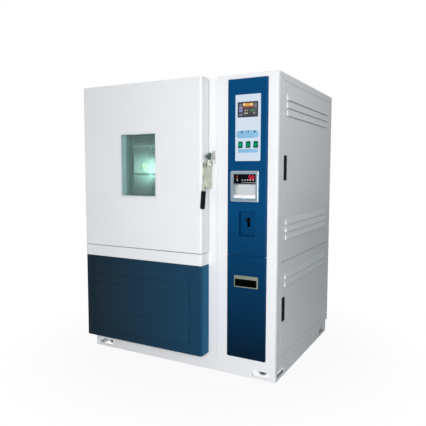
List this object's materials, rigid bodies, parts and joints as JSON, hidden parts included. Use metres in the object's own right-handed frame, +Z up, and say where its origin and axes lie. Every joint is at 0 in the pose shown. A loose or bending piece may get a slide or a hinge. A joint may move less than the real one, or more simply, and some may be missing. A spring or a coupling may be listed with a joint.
{
  "type": "environmental test chamber",
  "caption": "Floor-standing climatic test chamber: insulated windowed door over a louvred plant cover, beside a control column with display, rocker switches, chart recorder and tank drawer.",
  "frame": {"origin": "on the floor, at the middle of the overall footprint, feet and latch grip included", "axes": "+Z up, +Y to the rear, +X to the right seen from the front"},
  "size_m": [1.312, 1.179, 1.712],
  "materials": {
    "white_paint": "satin powder coat",
    "blue_paint": "satin powder coat",
    "navy_paint": "satin powder coat",
    "stainless": "brushed",
    "zinc_steel": "zinc plated",
    "chrome": "polished",
    "foam": "rigid foam",
    "seal_rubber": "matt",
    "tread_rubber": "matt",
    "clear_glass": "clear",
    "lamp_glass": "frosted",
    "black_plastic": "fine texture",
    "grey_plastic": "fine texture",
    "pale_plate": "satin film",
    "green_plastic": "gloss",
    "tank_plastic": "translucent",
    "chart_paper": "paper",
    "aluminium": "mill",
    "black_enamel": "gloss",
    "motor_paint": "satin"
  },
  "bodies": {
    "cabinet": {"base_frame": "white_paint", "levelling_feet": "zinc_steel", "rear_caster_forks": "zinc_steel", "front_frame": "white_paint", "side_frame": "white_paint", "chamber_wrap": "white_paint", "rear_cover": "white_paint", "chamber_liner": "stainless", "chamber_insulation": "foam", "air_duct_panel": "stainless", "fan_motor": "motor_paint", "evaporator_coil": "aluminium", "shelf_standards": "stainless", "wire_shelves": "stainless", "chamber_lamp": "lamp_glass", "compressor": "black_enamel", "condenser_coil": "aluminium", "cabinet_hinge_leaves": "chrome", "latch_strike": "chrome", "sill_band": "white_paint", "louvre_panel": "navy_paint", "column_fascia": "blue_paint", "control_plate": "pale_plate", "display_unit": "black_plastic", "recorder_case": "grey_plastic", "recorder_chart": "chart_paper", "breaker": "black_plastic", "drawer_rails": "zinc_steel"},
    "door": {"door_shell": "white_paint", "door_insulation": "foam", "door_liner": "stainless", "door_gasket": "seal_rubber", "window_trim": "stainless", "window_glazing": "clear_glass", "door_hinge_leaves": "chrome", "latch_housing": "chrome"},
    "latch": {"latch_lever": "chrome", "latch_grip": "black_plastic"},
    "air_fan": {"circulation_fan": "aluminium"},
    "cooling_fan": {"condenser_fan": "aluminium"},
    "chart_door": {"recorder_door": "aluminium"},
    "rocker_a": {"rocker_1": "green_plastic"},
    "rocker_b": {"rocker_2": "green_plastic"},
    "rocker_c": {"rocker_3": "green_plastic"},
    "toggle": {"breaker_toggle": "black_plastic"},
    "tank_drawer": {"drawer_front": "blue_paint", "drawer_pull": "aluminium", "water_tank": "tank_plastic"},
    "upper_service_door": {"upper_side_door": "white_paint", "upper_latch_cup": "grey_plastic"},
    "lower_service_door": {"lower_side_door": "white_paint", "lower_latch_cup": "grey_plastic"},
    "upper_paddle": {"upper_latch_paddle": "black_plastic"},
    "lower_paddle": {"lower_latch_paddle": "black_plastic"},
    "left_swivel": {"front_left_fork": "zinc_steel"},
    "right_swivel": {"front_right_fork": "zinc_steel"},
    "wheel_fl": {"front_left_wheel": "tread_rubber"},
    "wheel_fr": {"front_right_wheel": "tread_rubber"},
    "wheel_rl": {"rear_left_wheel": "tread_rubber"},
    "wheel_rr": {"rear_right_wheel": "tread_rubber"}
  },
  "joints": [
    {"name": "door_swing", "type": "hinge", "parent": "cabinet", "child": "door", "pos_m": [-0.653, -0.48198, 1.2], "axis": [0, 0, -1], "range_deg": [0, 120]},
    {"name": "latch_pull", "type": "hinge", "parent": "door", "child": "latch", "pos_m": [0.2345, -0.52599, 1.208], "axis": [-1, 0, 0], "range_deg": [0, 55]},
    {"name": "air_fan_spin", "type": "hinge", "parent": "cabinet", "child": "air_fan", "pos_m": [-0.211, 0.09201, 1.432], "axis": [0, 1, 0], "continuous": true},
    {"name": "cooling_fan_spin", "type": "hinge", "parent": "cabinet", "child": "cooling_fan", "pos_m": [-0.064, -0.22998, 0.3], "axis": [0, 1, 0], "continuous": true},
    {"name": "chart_door_swing", "type": "hinge", "parent": "cabinet", "child": "chart_door", "pos_m": [0.53225, -0.49023, 1.1], "axis": [0, 0, 1], "range_deg": [0, 110]},
    {"name": "rocker_a_press", "type": "hinge", "parent": "cabinet", "child": "rocker_a", "pos_m": [0.42425, -0.48398, 1.328], "axis": [1, 0, 0], "range_deg": [0, 12]},
    {"name": "rocker_b_press", "type": "hinge", "parent": "cabinet", "child": "rocker_b", "pos_m": [0.47075, -0.48398, 1.328], "axis": [1, 0, 0], "range_deg": [0, 12]},
    {"name": "rocker_c_press", "type": "hinge", "parent": "cabinet", "child": "rocker_c", "pos_m": [0.51575, -0.48398, 1.328], "axis": [1, 0, 0], "range_deg": [0, 12]},
    {"name": "toggle_throw", "type": "hinge", "parent": "cabinet", "child": "toggle", "pos_m": [0.4645, -0.44399, 0.897], "axis": [1, 0, 0], "range_deg": [0, 50]},
    {"name": "tank_drawer_slide", "type": "slide", "parent": "cabinet", "child": "tank_drawer", "axis": [0, -1, 0], "range_m": [0, 0.38]},
    {"name": "upper_service_door_swing", "type": "hinge", "parent": "cabinet", "child": "upper_service_door", "pos_m": [0.637, 0.51802, 1.18], "axis": [0, 0, 1], "range_deg": [0, 100]},
    {"name": "lower_service_door_swing", "type": "hinge", "parent": "cabinet", "child": "lower_service_door", "pos_m": [0.637, 0.51802, 0.4], "axis": [0, 0, 1], "range_deg": [0, 100]},
    {"name": "upper_paddle_lift", "type": "hinge", "parent": "upper_service_door", "child": "upper_paddle", "pos_m": [0.639, -0.37299, 1.255], "axis": [0, -1, 0], "range_deg": [0, 60]},
    {"name": "lower_paddle_lift", "type": "hinge", "parent": "lower_service_door", "child": "lower_paddle", "pos_m": [0.639, -0.37299, 0.458], "axis": [0, -1, 0], "range_deg": [0, 60]},
    {"name": "left_swivel_turn", "type": "hinge", "parent": "cabinet", "child": "left_swivel", "pos_m": [-0.556, -0.38999, 0.076], "axis": [0, 0, 1], "continuous": true},
    {"name": "right_swivel_turn", "type": "hinge", "parent": "cabinet", "child": "right_swivel", "pos_m": [0.556, -0.38999, 0.076], "axis": [0, 0, 1], "continuous": true},
    {"name": "wheel_fl_roll", "type": "hinge", "parent": "left_swivel", "child": "wheel_fl", "pos_m": [-0.578, -0.38999, 0.033], "axis": [0, 1, 0], "continuous": true},
    {"name": "wheel_fr_roll", "type": "hinge", "parent": "right_swivel", "child": "wheel_fr", "pos_m": [0.534, -0.38999, 0.033], "axis": [0, 1, 0], "continuous": true},
    {"name": "wheel_rl_roll", "type": "hinge", "parent": "cabinet", "child": "wheel_rl", "pos_m": [-0.578, 0.46002, 0.033], "axis": [0, 1, 0], "continuous": true},
    {"name": "wheel_rr_roll", "type": "hinge", "parent": "cabinet", "child": "wheel_rr", "pos_m": [0.534, 0.46002, 0.033], "axis": [0, 1, 0], "continuous": true}
  ]
}
